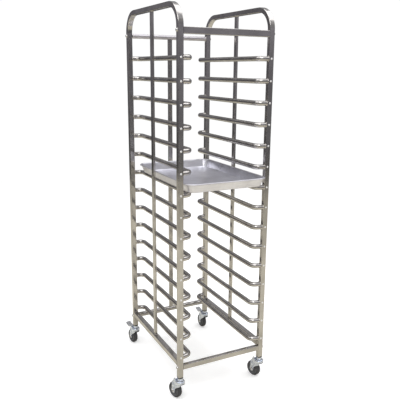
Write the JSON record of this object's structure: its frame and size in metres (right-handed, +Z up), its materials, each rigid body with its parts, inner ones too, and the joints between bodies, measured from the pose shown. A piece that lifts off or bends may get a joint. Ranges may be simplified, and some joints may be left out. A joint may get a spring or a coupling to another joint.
{
  "type": "sheet pan rack",
  "caption": "Tall narrow knock-down bakery rack of bent stainless tube on swivel casters, with pairs of bent round runners that carry a sheet pan slid in from the front.",
  "frame": {"origin": "on the floor, under the middle of the whole part's box at rest; the middle of the four posts is 3.7 mm to +X and 22.3 mm to -Y of it, because the casters and the brake pedals trail to +Y and the front left wheel a little to -X", "axes": "+Z up; -Y is the open front that pans slide in through; +X is the rack's right side seen from the front"},
  "size_m": [0.4828, 0.7346, 1.76],
  "materials": {
    "stainless_steel": "polished",
    "aluminium_sheet": "satin",
    "zinc_plate": "bright zinc plate",
    "grey_rubber": "matt",
    "black_plastic": "matt"
  },
  "bodies": {
    "rack": {"left_side_frame": "stainless_steel", "left_bottom_rail": "stainless_steel", "left_centre_upright": "stainless_steel", "left_runner_01": "stainless_steel", "left_runner_02": "stainless_steel", "left_runner_03": "stainless_steel", "left_runner_04": "stainless_steel", "left_runner_05": "stainless_steel", "left_runner_06": "stainless_steel", "left_runner_07": "stainless_steel", "left_runner_08": "stainless_steel", "left_runner_09": "stainless_steel", "left_runner_10": "stainless_steel", "left_runner_11": "stainless_steel", "left_runner_12": "stainless_steel", "left_runner_13": "stainless_steel", "left_runner_14": "stainless_steel", "left_runner_15": "stainless_steel", "right_side_frame": "stainless_steel", "right_bottom_rail": "stainless_steel", "right_centre_upright": "stainless_steel", "right_runner_01": "stainless_steel", "right_runner_02": "stainless_steel", "right_runner_03": "stainless_steel", "right_runner_04": "stainless_steel", "right_runner_05": "stainless_steel", "right_runner_06": "stainless_steel", "right_runner_07": "stainless_steel", "right_runner_08": "stainless_steel", "right_runner_09": "stainless_steel", "right_runner_10": "stainless_steel", "right_runner_11": "stainless_steel", "right_runner_12": "stainless_steel", "right_runner_13": "stainless_steel", "right_runner_14": "stainless_steel", "right_runner_15": "stainless_steel", "front_top_bar": "stainless_steel", "front_bottom_bar": "stainless_steel", "rear_top_bar": "stainless_steel", "rear_bottom_bar": "stainless_steel", "rear_centre_upright": "stainless_steel", "rear_left_stem_plug": "black_plastic", "front_left_stem_plug": "black_plastic", "front_right_stem_plug": "black_plastic", "rear_right_stem_plug": "black_plastic"},
    "pan": {"sheet_pan": "aluminium_sheet"},
    "rear_left_swivel": {"rear_left_caster_fork": "zinc_plate", "rear_left_caster_axle": "zinc_plate"},
    "rear_left_wheel": {"rear_left_caster_wheel": "grey_rubber"},
    "rear_left_pedal": {"rear_left_brake_pedal": "zinc_plate"},
    "front_left_swivel": {"front_left_caster_fork": "zinc_plate", "front_left_caster_axle": "zinc_plate"},
    "front_left_wheel": {"front_left_caster_wheel": "grey_rubber"},
    "front_right_swivel": {"front_right_caster_fork": "zinc_plate", "front_right_caster_axle": "zinc_plate"},
    "front_right_wheel": {"front_right_caster_wheel": "grey_rubber"},
    "rear_right_swivel": {"rear_right_caster_fork": "zinc_plate", "rear_right_caster_axle": "zinc_plate"},
    "rear_right_wheel": {"rear_right_caster_wheel": "grey_rubber"},
    "rear_right_pedal": {"rear_right_brake_pedal": "zinc_plate"}
  },
  "joints": [
    {"name": "pan_slide", "type": "slide", "parent": "rack", "child": "pan", "axis": [0, -1, 0], "range_m": [-0.03, 0.6]},
    {"name": "rear_left_swivel_turn", "type": "hinge", "parent": "rack", "child": "rear_left_swivel", "pos_m": [-0.21178, 0.27274, 0.104], "axis": [0, 0, 1], "continuous": true},
    {"name": "rear_left_wheel_spin", "type": "hinge", "parent": "rear_left_swivel", "child": "rear_left_wheel", "pos_m": [-0.21637, 0.30542, 0.0375], "axis": [-0.9903, -0.1392, 0], "continuous": true},
    {"name": "rear_left_brake_press", "type": "hinge", "parent": "rear_left_swivel", "child": "rear_left_pedal", "pos_m": [-0.21484, 0.29453, 0.101], "axis": [-0.9903, -0.1392, 0], "range_deg": [0, 10]},
    {"name": "front_left_swivel_turn", "type": "hinge", "parent": "rack", "child": "front_left_swivel", "pos_m": [-0.21178, -0.31726, 0.104], "axis": [0, 0, 1], "continuous": true},
    {"name": "front_left_wheel_spin", "type": "hinge", "parent": "front_left_swivel", "child": "front_left_wheel", "pos_m": [-0.22143, -0.2857, 0.0375], "axis": [-0.9563, -0.2924, 0], "continuous": true},
    {"name": "front_right_swivel_turn", "type": "hinge", "parent": "rack", "child": "front_right_swivel", "pos_m": [0.21922, -0.31726, 0.104], "axis": [0, 0, 1], "continuous": true},
    {"name": "front_right_wheel_spin", "type": "hinge", "parent": "front_right_swivel", "child": "front_right_wheel", "pos_m": [0.21068, -0.28538, 0.0375], "axis": [-0.9659, -0.2588, 0], "continuous": true},
    {"name": "rear_right_swivel_turn", "type": "hinge", "parent": "rack", "child": "rear_right_swivel", "pos_m": [0.21922, 0.27274, 0.104], "axis": [0, 0, 1], "continuous": true},
    {"name": "rear_right_wheel_spin", "type": "hinge", "parent": "rear_right_swivel", "child": "rear_right_wheel", "pos_m": [0.21864, 0.30573, 0.0375], "axis": [-0.9998, -0.0175, 0], "continuous": true},
    {"name": "rear_right_brake_press", "type": "hinge", "parent": "rear_right_swivel", "child": "rear_right_pedal", "pos_m": [0.21884, 0.29474, 0.101], "axis": [-0.9998, -0.0175, 0], "range_deg": [0, 10]}
  ]
}
